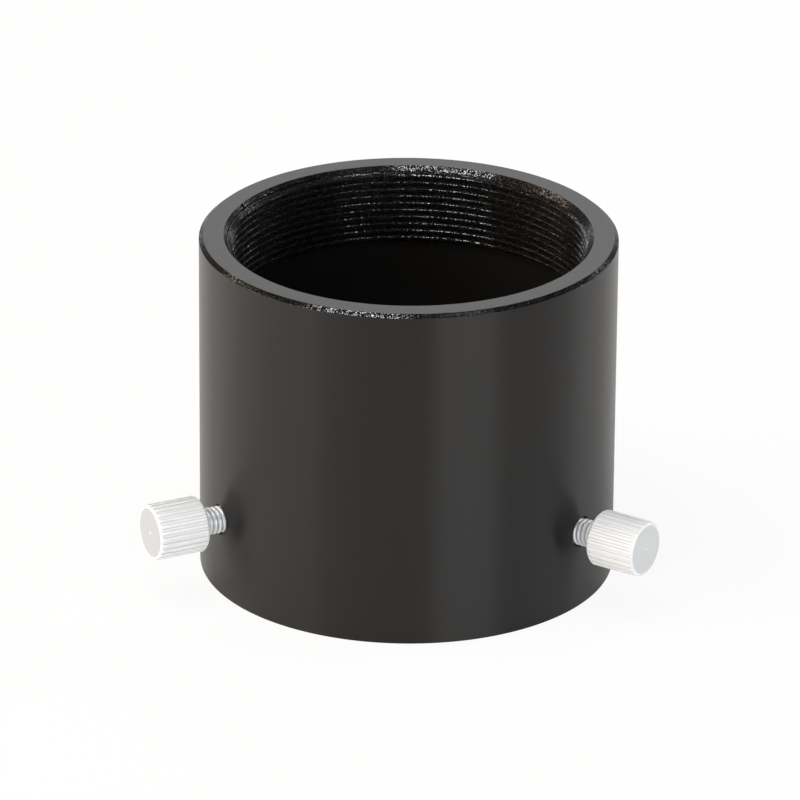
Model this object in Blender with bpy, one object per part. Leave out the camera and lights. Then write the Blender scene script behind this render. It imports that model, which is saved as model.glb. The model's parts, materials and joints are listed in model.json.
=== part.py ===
"""Telescope thread adapter: a turned tube with a fine internal thread at its top and a plain
socket for an eyepiece barrel below, which three knurled thumbscrews clamp.

Metres, +Z up. The origin is the middle of the tube, on its axis and halfway up. The front is -Y,
and an azimuth is counted from the front, growing towards +X.
"""

import math

import bmesh
import bpy

MM = 0.001
INCH = 25.4 * MM

# The thread's major diameter and the barrel's outside are both this size
NOMINAL_DIAMETER = 2.0 * INCH

# Tube
WALL = 4.0 * MM
TUBE_HEIGHT = 49.7 * MM
RIM_CHAMFER_WIDTH = 0.6 * MM
RIM_CHAMFER_HEIGHT = 0.5 * MM

# Right-handed internal thread at the top, whose ridge passes the rim at the start azimuth
THREAD_PITCH = INCH / 24.0
THREAD_LENGTH = 11.5 * MM
THREAD_START = math.radians(250.5)
CORE_FACTOR = 1.0825
RIDGE_FLAT = THREAD_PITCH / 4
MOUTH_CHAMFER = 0.65 * MM

# Socket for the barrel, open at the foot
BARREL_CLEARANCE = 0.1 * MM
SOCKET_CHAMFER = 0.5 * MM

# Thumbscrews, spaced evenly round the tube from the rear one
SCREW_SIDES = ("rear", "left", "right")
SCREW_HEIGHT = 11.4 * MM
SHANK_DIAMETER = 3.9 * MM
SHANK_CLEARANCE = 0.1 * MM
TIP_CHAMFER = 0.4 * MM
TIP_INSET = 0.2 * MM
HEAD_STANDOFF = 3.1 * MM
HEAD_DIAMETER = 8.0 * MM
HEAD_LENGTH = 7.55 * MM
HEAD_FILLET = 0.45 * MM
HEAD_CHAMFER = 0.35 * MM
RIB_COUNT = 27
GROOVE_DEPTH = 0.16 * MM
GROOVE_WIDTH = 0.52 * MM
GROOVE_FLOOR = 0.3 * MM

# Smoothness of the round forms
TUBE_STEPS = 96
SHANK_STEPS = 32
FILLET_STEPS = 3
POINTS_PER_RIB = 4
OVERLAP = 1.0 * MM
SHARP_ANGLE = math.radians(30.0)

SOCKET_RADIUS = NOMINAL_DIAMETER / 2 + BARREL_CLEARANCE
TUBE_RADIUS = SOCKET_RADIUS + WALL
CORE_RADIUS = (NOMINAL_DIAMETER - CORE_FACTOR * THREAD_PITCH) / 2
MOUTH_RADIUS = NOMINAL_DIAMETER / 2 + MOUTH_CHAMFER
SHANK_RADIUS = SHANK_DIAMETER / 2
HEAD_RADIUS = HEAD_DIAMETER / 2
TOP = TUBE_HEIGHT / 2
FOOT = -TUBE_HEIGHT / 2
TIP = TIP_INSET - WALL


def clear_scene():
    """Remove whatever the file opened with."""
    for item in list(bpy.data.objects):
        bpy.data.objects.remove(item, do_unlink=True)


def metal(name, colour, metallic, roughness):
    """One plain metal finish."""
    material = bpy.data.materials.new(name)
    material.use_nodes = True
    shader = material.node_tree.nodes["Principled BSDF"]
    shader.inputs["Base Color"].default_value = (*colour, 1.0)
    shader.inputs["Metallic"].default_value = metallic
    shader.inputs["Roughness"].default_value = roughness
    material.diffuse_color = (*colour, 1.0)
    return material


def spin_profile(profile, steps, closed):
    """Turn a profile of (radius, z) points about the Z axis.

    A closed profile makes a ring. An open one makes a bar, whose two ends get flat caps."""
    bm = bmesh.new()
    points = [bm.verts.new((radius, 0.0, z)) for radius, z in profile]
    edges = [bm.edges.new(pair) for pair in zip(points, points[1:])]
    if closed:
        edges.append(bm.edges.new((points[-1], points[0])))
    bmesh.ops.spin(
        bm,
        geom=points + edges,
        axis=(0.0, 0.0, 1.0),
        cent=(0.0, 0.0, 0.0),
        angle=math.tau,
        steps=steps,
        use_merge=True,
    )
    if not closed:
        rims = [edge for edge in bm.edges if edge.is_boundary]
        bmesh.ops.holes_fill(bm, edges=rims, sides=0)
    bmesh.ops.recalc_face_normals(bm, faces=bm.faces)
    return bm


def finish_mesh(bm, name):
    """Write the bmesh out as a mesh with smooth round faces and crisp edges."""
    mesh = bpy.data.meshes.new(name)
    bm.to_mesh(mesh)
    bm.free()
    mesh.shade_smooth()
    mesh.set_sharp_from_angle(angle=SHARP_ANGLE)
    return mesh


def add_object(name, mesh, material=None):
    """Put a mesh into the scene under its own name."""
    item = bpy.data.objects.new(name, mesh)
    bpy.context.scene.collection.objects.link(item)
    if material:
        mesh.materials.clear()
        mesh.materials.append(material)
    return item


def add_helper(name, mesh):
    """A shape that only cuts or joins: shown as wire and never rendered."""
    helper = add_object(name, mesh)
    helper.hide_render = True
    helper.display_type = "WIRE"
    return helper


def add_boolean(item, other, operation):
    """Cut from, or join to, an object with a second one."""
    modifier = item.modifiers.new(operation.title(), "BOOLEAN")
    modifier.operation = operation
    modifier.solver = "EXACT"
    modifier.object = other


def tube_profile():
    """The tube's section, from the rim down the outside and back up the bore.

    The mouth chamfer runs at 45 degrees from the rim to the thread's core, which the thread is
    cut into later. Below it the bore steps out to the socket, so the step stops the barrel."""
    return [
        (MOUTH_RADIUS, TOP),
        (TUBE_RADIUS - RIM_CHAMFER_WIDTH, TOP),
        (TUBE_RADIUS, TOP - RIM_CHAMFER_HEIGHT),
        (TUBE_RADIUS, FOOT),
        (SOCKET_RADIUS + SOCKET_CHAMFER, FOOT),
        (SOCKET_RADIUS, FOOT + SOCKET_CHAMFER),
        (SOCKET_RADIUS, TOP - THREAD_LENGTH),
        (CORE_RADIUS, TOP - THREAD_LENGTH),
        (CORE_RADIUS, TOP - (MOUTH_RADIUS - CORE_RADIUS)),
    ]


def head_profile():
    """The head's outline, from its inner end to its outer face, with a rounded outer edge."""
    outer = HEAD_STANDOFF + HEAD_LENGTH
    turns = [math.pi / 2 * step / FILLET_STEPS for step in range(FILLET_STEPS + 1)]
    centre_radius = HEAD_RADIUS - HEAD_FILLET
    centre_z = outer - HEAD_FILLET
    fillet = [
        (centre_radius + HEAD_FILLET * math.cos(turn), centre_z + HEAD_FILLET * math.sin(turn))
        for turn in turns
    ]
    return [
        (HEAD_RADIUS - HEAD_CHAMFER, HEAD_STANDOFF),
        (HEAD_RADIUS, HEAD_STANDOFF + HEAD_CHAMFER),
        *fillet,
    ]


def shank_profile():
    """The shank's outline, from its chamfered tip to a stub inside the head."""
    return [
        (SHANK_RADIUS - TIP_CHAMFER, TIP),
        (SHANK_RADIUS, TIP + TIP_CHAMFER),
        (SHANK_RADIUS, HEAD_STANDOFF + OVERLAP),
    ]


def press_grooves(bm):
    """Press a straight knurl into the head.

    Each groove has four lines of points along the head: the two edges of its flat floor, and the
    shoulder on either side. A floor point sinks only where the head is thicker than the floor, so
    the grooves run out in the rounded ends as they do on the real screw."""
    pitch = math.tau / RIB_COUNT
    edge = GROOVE_FLOOR / 2 / HEAD_RADIUS
    shoulder = GROOVE_WIDTH / 2 / HEAD_RADIUS
    floor = HEAD_RADIUS - GROOVE_DEPTH
    step = pitch / POINTS_PER_RIB
    places = (-edge, edge, shoulder, pitch - shoulder)
    for vert in bm.verts:
        radius = math.hypot(vert.co.x, vert.co.y)
        line = round(math.atan2(vert.co.y, vert.co.x) / step)
        rib, place = divmod(line, POINTS_PER_RIB)
        angle = rib * pitch + places[place]
        if abs(places[place]) == edge:
            radius = min(radius, floor)
        vert.co.x = radius * math.cos(angle)
        vert.co.y = radius * math.sin(angle)


def thumbscrew_mesh():
    """One thumbscrew along +Z, with z = 0 where its shank leaves the tube's outside."""
    head = spin_profile(head_profile(), RIB_COUNT * POINTS_PER_RIB, closed=False)
    press_grooves(head)
    blank = add_helper("head_blank", finish_mesh(head, "head_blank"))
    shank = spin_profile(shank_profile(), SHANK_STEPS, closed=False)
    spindle = add_helper("shank_blank", finish_mesh(shank, "shank_blank"))
    add_boolean(blank, spindle, "UNION")
    whole = blank.evaluated_get(bpy.context.evaluated_depsgraph_get())
    mesh = bpy.data.meshes.new_from_object(whole)
    mesh.name = "thumbscrew"
    bpy.data.objects.remove(blank, do_unlink=True)
    bpy.data.objects.remove(spindle, do_unlink=True)
    return mesh


def screw_azimuths():
    """Each screw's side and its azimuth."""
    spacing = math.tau / len(SCREW_SIDES)
    return [(side, math.pi + spacing * place) for place, side in enumerate(SCREW_SIDES)]


def place_on_screw_axis(item, turn):
    """Stand an object on the tube's outside with its own +Z along the axis at an azimuth."""
    item.rotation_euler = (math.pi / 2, 0.0, turn)
    item.location = (
        TUBE_RADIUS * math.sin(turn),
        -TUBE_RADIUS * math.cos(turn),
        FOOT + SCREW_HEIGHT,
    )


def hole_mesh():
    """The cutter for one screw hole: a cylinder that runs past both sides of the wall."""
    bm = bmesh.new()
    bmesh.ops.create_cone(
        bm,
        cap_ends=True,
        segments=SHANK_STEPS,
        radius1=SHANK_RADIUS + SHANK_CLEARANCE,
        radius2=SHANK_RADIUS + SHANK_CLEARANCE,
        depth=WALL + 2 * OVERLAP,
    )
    bmesh.ops.translate(bm, verts=bm.verts, vec=(0.0, 0.0, -WALL / 2))
    return finish_mesh(bm, "screw_hole")


def thread_mesh():
    """The cutter for the internal thread: a helical ridge round a core, like a tap.

    Each column has valley and ridge points in turn, half a pitch apart. The columns climb one
    pitch a turn, so the last one meets the first two points further up. A ridge is as wide at
    the thread's core as the pitch less the flat that stays on the tube's own ridge."""
    ridge_radius = NOMINAL_DIAMETER / 2
    slope = (ridge_radius - CORE_RADIUS) / ((THREAD_PITCH - RIDGE_FLAT) / 2)
    valley_radius = ridge_radius - slope * THREAD_PITCH / 2
    first = -math.ceil(THREAD_LENGTH / THREAD_PITCH) - 2
    points = 2 * (2 - first) + 1
    bm = bmesh.new()
    columns = []
    for column in range(TUBE_STEPS):
        turn = column / TUBE_STEPS
        lead = turn + 0.25 - THREAD_START / math.tau
        line = []
        for point in range(points):
            radius = (valley_radius, ridge_radius)[point % 2]
            x = radius * math.cos(turn * math.tau)
            y = radius * math.sin(turn * math.tau)
            line.append(bm.verts.new((x, y, TOP + (first + lead + point / 2) * THREAD_PITCH)))
        columns.append(line)
    start = columns[0]
    end = columns[-1]
    for line, after in zip(columns, columns[1:] + [start[2:]]):
        for low, low_after, high_after, high in zip(line, after, after[1:], line[1:]):
            bm.faces.new((low, low_after, high_after, high))
    bottom = [line[0] for line in columns] + [start[2], start[1]]
    top = [line[-1] for line in columns] + [end[-2], end[-3]]
    for loop in (bottom, top):
        centre = bm.verts.new((0.0, 0.0, loop[0].co.z))
        for corner, after in zip(loop, loop[1:] + loop[:1]):
            bm.faces.new((corner, after, centre))
    bmesh.ops.recalc_face_normals(bm, faces=bm.faces)
    return finish_mesh(bm, "thread_tap")


def build_tube():
    """The tube, with the thread in its mouth and a hole through its wall for each screw."""
    finish = metal("black_anodised", (0.045, 0.044, 0.042), 0.6, 0.45)
    mesh = finish_mesh(spin_profile(tube_profile(), TUBE_STEPS, closed=True), "adapter_body")
    tube = add_object("adapter_body", mesh, finish)
    add_boolean(tube, add_helper("thread_tap", thread_mesh()), "DIFFERENCE")
    cutter = hole_mesh()
    for side, turn in screw_azimuths():
        hole = add_helper("screw_hole_" + side, cutter)
        place_on_screw_axis(hole, turn)
        add_boolean(tube, hole, "DIFFERENCE")


def build_thumbscrews():
    """The screws, which share one mesh. Each one's origin lies on its own axis."""
    mesh = thumbscrew_mesh()
    finish = metal("satin_steel", (0.82, 0.82, 0.81), 1.0, 0.32)
    for side, turn in screw_azimuths():
        screw = add_object("thumbscrew_" + side, mesh, finish)
        place_on_screw_axis(screw, turn)


def main():
    clear_scene()
    build_tube()
    build_thumbscrews()


main()
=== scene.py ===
"""Telescope thread adapter: its turned black tube, the fine thread in its mouth and its thumbscrews.

Metres, +Z up. The origin is the middle of the tube, on its axis. The front is -Y, and an azimuth
is counted from the front, growing towards +X. A section is a row of (radius, height) points.
"""

import json
import math
from collections import namedtuple

import bmesh
import bpy
import numpy as np
from mathutils import Matrix, Vector


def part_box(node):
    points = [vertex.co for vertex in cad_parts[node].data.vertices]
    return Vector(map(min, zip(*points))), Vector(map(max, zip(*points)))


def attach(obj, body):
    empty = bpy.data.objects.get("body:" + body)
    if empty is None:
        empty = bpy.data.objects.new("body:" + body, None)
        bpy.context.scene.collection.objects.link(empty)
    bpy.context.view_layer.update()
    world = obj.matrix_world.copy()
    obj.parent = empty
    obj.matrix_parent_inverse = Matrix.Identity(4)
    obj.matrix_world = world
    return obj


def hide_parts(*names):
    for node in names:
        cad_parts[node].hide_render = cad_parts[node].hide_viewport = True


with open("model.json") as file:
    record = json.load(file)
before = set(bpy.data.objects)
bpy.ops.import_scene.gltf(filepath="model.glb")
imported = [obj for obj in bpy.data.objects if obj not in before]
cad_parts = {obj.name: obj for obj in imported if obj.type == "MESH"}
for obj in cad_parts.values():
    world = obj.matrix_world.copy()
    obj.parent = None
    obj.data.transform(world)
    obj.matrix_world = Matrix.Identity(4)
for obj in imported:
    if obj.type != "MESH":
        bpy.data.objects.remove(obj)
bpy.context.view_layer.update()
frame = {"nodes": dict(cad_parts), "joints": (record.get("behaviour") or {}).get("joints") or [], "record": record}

bl_info = {
    "name": "Telescope thread adapter",
    "version": (1, 0, 0),
    "blender": (4, 5, 0),
    "location": "View3D > Sidebar > Adapter",
    "description": "Builds the adapter's threaded tube, its knurled thumbscrews and a studio stage",
    "category": "Add Mesh",
}

MM = 0.001
INCH = 25.4 * MM
NEAR = 0.01 * MM

# The order of the tube's finishes, and then of the thumbscrews'
WALL_FINISH, CUT_FINISH, RIM_FINISH, BORE_FINISH, NICK_SHADE_FINISH = range(5)
KNURL_FINISH, SHANK_FINISH, FACE_FINISH = range(3)

TUBE_NODE = "adapter_body"
TUBE_BODY = "tube"
ANODISED_SLOT = "black_anodised"
STEEL_SLOT = "satin_steel"

# How finely the round forms are cut up
TUBE_COLUMNS = 324
WINDOW_CELLS = 16
WINDOW_HALF = 4.0 * MM
WALL_STEP = 4.0 * MM
MOUTH_STEP = 0.026 * MM
SHANK_COLUMNS_PER_RIB = 4
ROUNDED_POINTS = 17
ARC_STEPS = 5
SHARP_ANGLE = math.radians(25.0)
WELD_DISTANCE = 0.002 * MM

# Small sizes that no user would change: the plain ends of the tube's paths, how far the mouth's
# level rows reach below its chamfer, the head's inner edge and gap, the thread's run-out under
# the head, and the spread and slack of the painted shade in the grooves
PLAIN_END = 1.0 * MM
MOUTH_END = 0.2 * MM
MOUTH_OVERLAP = 0.06 * MM
HEAD_EDGE = 0.06 * MM
NECK_GAP = 0.25 * MM
NECK_RUN = 0.2 * MM
NECK_SLOPE = 2.0
SHADE_SPREAD = 0.08 * MM
SHADE_SLACK = 0.03 * MM

# Noise scales of the finishes, in cells to the metre
BLACK_DRIFT = 45.0
SATIN_GRAIN = 7000.0
MATTE_GRAIN = 5200.0
STEEL_DRIFT = 400.0
TURNING_MARKS = 12000.0

# Gloss levels, and how bright the dull finishes are beside the black
WALL_GLOSS = 0.335
CUT_GLOSS = 0.04
RIM_GLOSS = 0.5
CUT_SHARE = 0.6
BORE_SHARE, BORE_GLOSS = 1.6, 0.06
# The nick and its fine groove are near-black and glossless: painted shade in the recess
NICK_SHADE_SHARE, NICK_SHADE_GLOSS = 0.2, 0.0
WARM_SHARE = 0.12
FINE_RELIEF = 0.01 * MM

# A cell's random number from which it begins to glint, and from which it is all glint
GLINT_START, GLINT_FULL = 0.76, 0.9

# The colour sockets of a Mix node
MIX_FIRST, MIX_SECOND, MIX_RESULT = 6, 7, 2

# Elevations between which the surround falls from white to dim, and how bright it then is
SKY_WHITE = math.radians(4.0)
SKY_DIM = math.radians(10.0)
DIM_SKY = 0.05

COLOUR = {"subtype": "COLOR", "size": 3, "min": 0.0, "max": 1.0}

TubeSizes = namedtuple(
    "TubeSizes",
    "top foot outer rim rim_foot mouth core thread_end socket foot_edge socket_start",
)
ScrewSizes = namedtuple(
    "ScrewSizes",
    "body node axis height tip shank standoff chamfer head outer",
)
Block = namedtuple("Block", "points faces finish")
Lamp = namedtuple("Lamp", "name azimuth elevation wide tall brightness colour")

# Lamps as the tube sees them, in degrees. A brightness of 1 is that of white paper
LAMP_DISTANCE = 1.2
NEUTRAL = (1.0, 1.0, 1.0)
LAMPS = (
    Lamp("left", -81.0, 22.0, 74.0, 43.0, 3.3, (1.0, 0.82, 0.66)),
    Lamp("front_left", -40.0, 17.0, 28.0, 10.0, 2.7, NEUTRAL),
    Lamp("front_right", 35.0, 10.0, 34.0, 18.0, 6.8, NEUTRAL),
    Lamp("right", 110.0, 18.0, 13.0, 32.0, 4.5, NEUTRAL),
    Lamp("rear", 185.0, 24.0, 55.0, 30.0, 1.6, NEUTRAL),
    Lamp("top", -35.0, 68.0, 42.0, 19.0, 5.8, NEUTRAL),
    Lamp("top_right", 104.0, 75.0, 14.0, 12.0, 8.0, NEUTRAL),
    Lamp("rear_right", 134.0, 25.0, 20.0, 12.0, 1.4, NEUTRAL),
)


def node_points(node):
    """A CAD node's vertices as an array of points."""
    mesh = frame["nodes"][node].data
    points = np.empty(len(mesh.vertices) * 3, np.float32)
    mesh.vertices.foreach_get("co", points)
    return points.reshape(-1, 3).astype(float)


def measure_tube():
    """The tube's radii and heights, read from the rings of points in its solid."""
    low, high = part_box(TUBE_NODE)
    points = node_points(TUBE_NODE)
    height = points[:, 2]
    radius = np.hypot(points[:, 0], points[:, 1])
    core = radius[radius < radius.min() + 2 * NEAR].max()
    thread_end = height[radius < core + NEAR].min()
    rim_ring = radius[height > high.z - NEAR]
    socket = radius[np.abs(height - thread_end) < NEAR].max()
    at_socket = np.abs(radius - socket) < NEAR
    return TubeSizes(
        top=high.z,
        foot=low.z,
        outer=high.x,
        rim=rim_ring.max(),
        rim_foot=height[radius > high.x - NEAR].max(),
        mouth=rim_ring.min(),
        core=core,
        thread_end=thread_end,
        socket=socket,
        foot_edge=radius[height < low.z + NEAR].min(),
        socket_start=height[at_socket].min(),
    )


def measure_screws():
    """Each thumbscrew's sizes along its own axis, counted from the tube's outside."""
    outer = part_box(TUBE_NODE)[1].x
    bodies = frame["record"]["behaviour"]["bodies"]
    found = []
    for joint in frame["joints"]:
        node = bodies[joint["child"]][0]
        low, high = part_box(node)
        points = node_points(node)
        axis = Vector(joint["axis"])
        centre_height = (low.z + high.z) / 2
        along = points @ np.array(axis) - outer
        across = points @ np.array((-axis.y, axis.x, 0.0))
        reach = np.hypot(across, points[:, 2] - centre_height)
        shank = reach[along < 0.0].max()
        standoff = along[reach > shank + NEAR].min()
        knurl = along[reach > reach.max() - NEAR]
        found.append(
            ScrewSizes(
                body=joint["child"],
                node=node,
                axis=axis,
                height=centre_height,
                tip=along.min(),
                shank=shank,
                standoff=standoff,
                chamfer=knurl.min() - standoff,
                head=reach.max(),
                outer=along.max(),
            )
        )
    return found


TUBE = measure_tube()
SCREWS = measure_screws()


class AdapterThread(bpy.types.PropertyGroup):
    """The fine thread in the tube's mouth."""

    pitch: bpy.props.FloatProperty(
        name="Pitch",
        description="Height from one turn of the thread to the next, 24 turns to the inch",
        default=INCH / 24.0,
        unit="LENGTH",
    )
    major_radius: bpy.props.FloatProperty(
        name="Root radius",
        description="Radius of the bottom of the thread's groove, half of two inches",
        default=INCH,
        unit="LENGTH",
    )
    start: bpy.props.FloatProperty(
        name="Start",
        description="Azimuth at which a ridge of the thread passes the top of the tube",
        default=math.radians(250.5),
        subtype="ANGLE",
    )
    edge: bpy.props.FloatProperty(
        name="Edge",
        description="Half width of the small flat on each edge of a ridge, as a share of the pitch",
        default=0.02,
    )
    nick_azimuth: bpy.props.FloatProperty(
        name="Nick azimuth",
        description="Where the cutter's first pass marks the mouth chamfer",
        default=math.radians(249.4),
        subtype="ANGLE",
    )
    nick_width: bpy.props.FloatProperty(
        name="Nick width",
        description="Width of that mark round the mouth",
        default=0.46 * MM,
        unit="LENGTH",
    )
    nick_depth: bpy.props.FloatProperty(
        name="Nick depth",
        description="Depth of that mark",
        default=0.4 * MM,
        unit="LENGTH",
    )
    scratch_drop: bpy.props.FloatProperty(
        name="Scratch drop",
        description="How far below the top the fine groove that meets the nick lies",
        default=0.57 * MM,
        unit="LENGTH",
    )
    scratch_width: bpy.props.FloatProperty(
        name="Scratch width",
        description="Width and depth of that fine groove",
        default=0.16 * MM,
        unit="LENGTH",
    )
    scratch_reach: bpy.props.FloatProperty(
        name="Scratch reach",
        description="How far round the mouth the fine groove runs to each side of the nick",
        default=math.radians(40.0),
        subtype="ANGLE",
    )


class AdapterTube(bpy.types.PropertyGroup):
    """The tube's small edges and its screw holes."""

    edge_radius: bpy.props.FloatProperty(
        name="Edge radius",
        description="Rounding of the tube's turned edges",
        default=0.08 * MM,
        unit="LENGTH",
    )
    foot_radius: bpy.props.FloatProperty(
        name="Foot radius",
        description="Rounding of the edge that the tube stands on",
        default=0.12 * MM,
        unit="LENGTH",
    )
    hole_clearance: bpy.props.FloatProperty(
        name="Hole clearance",
        description="Gap between a screw's thread and its hole",
        default=0.1 * MM,
        unit="LENGTH",
    )
    countersink: bpy.props.FloatProperty(
        name="Countersink",
        description="Width and depth of the bevel round each end of a screw hole",
        default=0.2 * MM,
        unit="LENGTH",
    )


class AdapterScrew(bpy.types.PropertyGroup):
    """The thumbscrews' knurl and thread."""

    ribs: bpy.props.IntProperty(
        name="Ribs",
        description="Number of ribs round the head",
        default=27,
    )
    groove_depth: bpy.props.FloatProperty(
        name="Groove depth",
        description="Depth of the grooves between the ribs",
        default=0.16 * MM,
        unit="LENGTH",
    )
    groove_width: bpy.props.FloatProperty(
        name="Groove width",
        description="Width of the grooves at the head's outside",
        default=0.54 * MM,
        unit="LENGTH",
    )
    groove_floor: bpy.props.FloatProperty(
        name="Groove floor",
        description="Width of the flat floor of the grooves",
        default=0.42 * MM,
        unit="LENGTH",
    )
    groove_edge: bpy.props.FloatProperty(
        name="Groove edge",
        description="Half width of the small flat on each edge of a groove",
        default=0.025 * MM,
        unit="LENGTH",
    )
    fillet: bpy.props.FloatProperty(
        name="Fillet",
        description="Rounding of the head's outer end",
        default=0.5 * MM,
        unit="LENGTH",
    )
    pitch: bpy.props.FloatProperty(
        name="Pitch",
        description="Height of one turn of the screw's thread",
        default=0.7 * MM,
        unit="LENGTH",
    )
    root_radius: bpy.props.FloatProperty(
        name="Root radius",
        description="Radius of the bottom of the screw thread's groove",
        default=1.62 * MM,
        unit="LENGTH",
    )
    start: bpy.props.FloatProperty(
        name="Start",
        description="Turn of the screw's thread about its axis",
        default=0.0,
        subtype="ANGLE",
    )
    turns: bpy.props.FloatVectorProperty(
        name="Turns",
        description="How far the left, right and rear thumbscrews are turned about their axes",
        default=(math.radians(168.8), math.radians(-1.7), math.radians(-3.3)),
        unit="ROTATION",
        size=3,
    )
    relief: bpy.props.FloatProperty(
        name="Relief",
        description="Length of the plain neck under the head",
        default=0.3 * MM,
        unit="LENGTH",
    )
    nib_radius: bpy.props.FloatProperty(
        name="Nib radius",
        description="Radius of the pip that parting off leaves in the middle of the head",
        default=0.1 * MM,
        unit="LENGTH",
    )


class AdapterFinish(bpy.types.PropertyGroup):
    """Colours and gloss of the two metals."""

    black: bpy.props.FloatVectorProperty(
        name="Black",
        description="Colour of the black anodising",
        default=(0.006, 0.006, 0.006),
        **COLOUR,
    )
    black_roughness: bpy.props.FloatProperty(
        name="Black roughness",
        description="Roughness of the anodised walls",
        default=0.328,
        subtype="FACTOR",
    )
    black_stretch: bpy.props.FloatProperty(
        name="Black stretch",
        description="How far fine turning marks stretch the gloss of the walls across them",
        default=0.91,
        subtype="FACTOR",
    )
    cut_roughness: bpy.props.FloatProperty(
        name="Cut roughness",
        description="Roughness of the chamfers and the thread, which keep their tool marks",
        default=0.34,
        subtype="FACTOR",
    )
    glint: bpy.props.FloatVectorProperty(
        name="Glint",
        description="Colour of the glints on the chamfers and the thread",
        default=(0.2, 0.2, 0.2),
        **COLOUR,
    )
    glint_roughness: bpy.props.FloatProperty(
        name="Glint roughness",
        description="Roughness of the glints",
        default=0.12,
        subtype="FACTOR",
    )
    glint_size: bpy.props.FloatProperty(
        name="Glint size",
        description="Distance from one glint to the next",
        default=0.1 * MM,
        unit="LENGTH",
        precision=5,
    )
    cut_stretch: bpy.props.FloatProperty(
        name="Cut stretch",
        description="How far turning marks stretch the gloss of the chamfers and the thread",
        default=0.7,
        subtype="FACTOR",
    )
    cut_relief: bpy.props.FloatProperty(
        name="Cut relief",
        description="Height of the chatter marks",
        default=0.004 * MM,
        unit="LENGTH",
    )
    rim_roughness: bpy.props.FloatProperty(
        name="Rim roughness",
        description="Roughness of the flat rim",
        default=0.4,
        subtype="FACTOR",
    )
    steel: bpy.props.FloatVectorProperty(
        name="Steel",
        description="Colour of the thumbscrews' knurls and shanks",
        default=(0.85, 0.875, 0.9),
        **COLOUR,
    )
    face: bpy.props.FloatVectorProperty(
        name="Face",
        description="Colour of the turned end faces of the thumbscrews",
        default=(0.755, 0.77, 0.785),
        **COLOUR,
    )
    knurl_roughness: bpy.props.FloatProperty(
        name="Knurl roughness",
        description="Roughness of the thumbscrews' knurls",
        default=0.7,
        subtype="FACTOR",
    )
    knurl_metallic: bpy.props.FloatProperty(
        name="Knurl metallic",
        description="How far the blasted knurls still act as bare metal",
        default=0.05,
        subtype="FACTOR",
    )
    shank_roughness: bpy.props.FloatProperty(
        name="Shank roughness",
        description="Roughness of the thumbscrews' threaded shanks",
        default=0.34,
        subtype="FACTOR",
    )
    shank_metallic: bpy.props.FloatProperty(
        name="Shank metallic",
        description="How far the threaded shanks act as bare metal",
        default=0.5,
        subtype="FACTOR",
    )
    face_roughness: bpy.props.FloatProperty(
        name="Face roughness",
        description="Roughness of the turned end faces of the thumbscrews",
        default=0.2,
        subtype="FACTOR",
    )
    # Painted shade: the steel's colour is darkened at the foot of the knurl's groove walls
    groove_shade_tone: bpy.props.FloatProperty(
        name="Groove tone",
        description="How bright the steel stays at the foot of the groove walls",
        default=0.62,
        subtype="FACTOR",
    )
    # Painted shade: the steel's colour is darkened in the valleys of the screw thread
    valley_shade_tone: bpy.props.FloatProperty(
        name="Valley tone",
        description="How bright the steel stays in the valleys of the screws' threads",
        default=0.35,
        subtype="FACTOR",
    )


class AdapterStage(bpy.types.PropertyGroup):
    """The floor and the camera."""

    floor_colour: bpy.props.FloatVectorProperty(
        name="Floor",
        description="Colour of the floor",
        default=(0.9, 0.9, 0.9),
        **COLOUR,
    )
    floor_glow: bpy.props.FloatProperty(
        name="Floor glow",
        description="Share of plain white in the floor as the camera sees it",
        default=0.9,
        subtype="FACTOR",
    )
    mirrored_glow: bpy.props.FloatProperty(
        name="Mirrored glow",
        description="Share of plain white in the floor as gloss and glass show it",
        default=0.3,
        subtype="FACTOR",
    )
    camera_azimuth: bpy.props.FloatProperty(
        name="Camera azimuth",
        description="Direction of the camera round the tube",
        default=math.radians(3.5),
        subtype="ANGLE",
    )
    camera_elevation: bpy.props.FloatProperty(
        name="Camera elevation",
        description="Height of the camera above the horizon",
        default=math.radians(23.584),
        subtype="ANGLE",
    )
    camera_roll: bpy.props.FloatProperty(
        name="Camera roll",
        description="Turn of the picture about the line of sight",
        default=math.radians(0.47),
        subtype="ANGLE",
    )
    camera_distance: bpy.props.FloatProperty(
        name="Camera distance",
        description="Distance from the middle of the tube",
        default=0.9985,
        unit="LENGTH",
    )
    lens: bpy.props.FloatProperty(
        name="Lens",
        description="Focal length in millimetres on a 36 mm sensor",
        default=316.8,
    )
    shift: bpy.props.FloatVectorProperty(
        name="Shift",
        description="Shift of the picture, as a share of its width",
        default=(-0.0094, -0.0051),
        size=2,
        precision=4,
    )


def grid_faces(rows, columns, closed_columns, keep=None):
    """Quads between the neighbours of a grid of points counted row by row.

    A closed grid's last column meets its first. keep marks the cells that get a face."""
    cells = columns if closed_columns else columns - 1
    row, column = np.meshgrid(np.arange(rows - 1), np.arange(cells), indexing="ij")
    after = (column + 1) % columns
    quads = np.stack(
        (
            row * columns + column,
            (row + 1) * columns + column,
            (row + 1) * columns + after,
            row * columns + after,
        ),
        axis=-1,
    )
    if keep is None:
        return quads.reshape(-1, 4)
    return quads[keep]


def turned(radius, azimuth, height):
    """Points at a radius, an azimuth and a height, as arrays of one shape."""
    radius, azimuth, height = np.broadcast_arrays(radius, azimuth, height)
    return np.stack((radius * np.sin(azimuth), -radius * np.cos(azimuth), height), axis=-1)


def block(points, closed_columns, finish=0, keep=None):
    """A grid of points with its faces and the number of its finish."""
    rows, columns = points.shape[:2]
    return Block(points.reshape(-1, 3), grid_faces(rows, columns, closed_columns, keep), finish)


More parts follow.
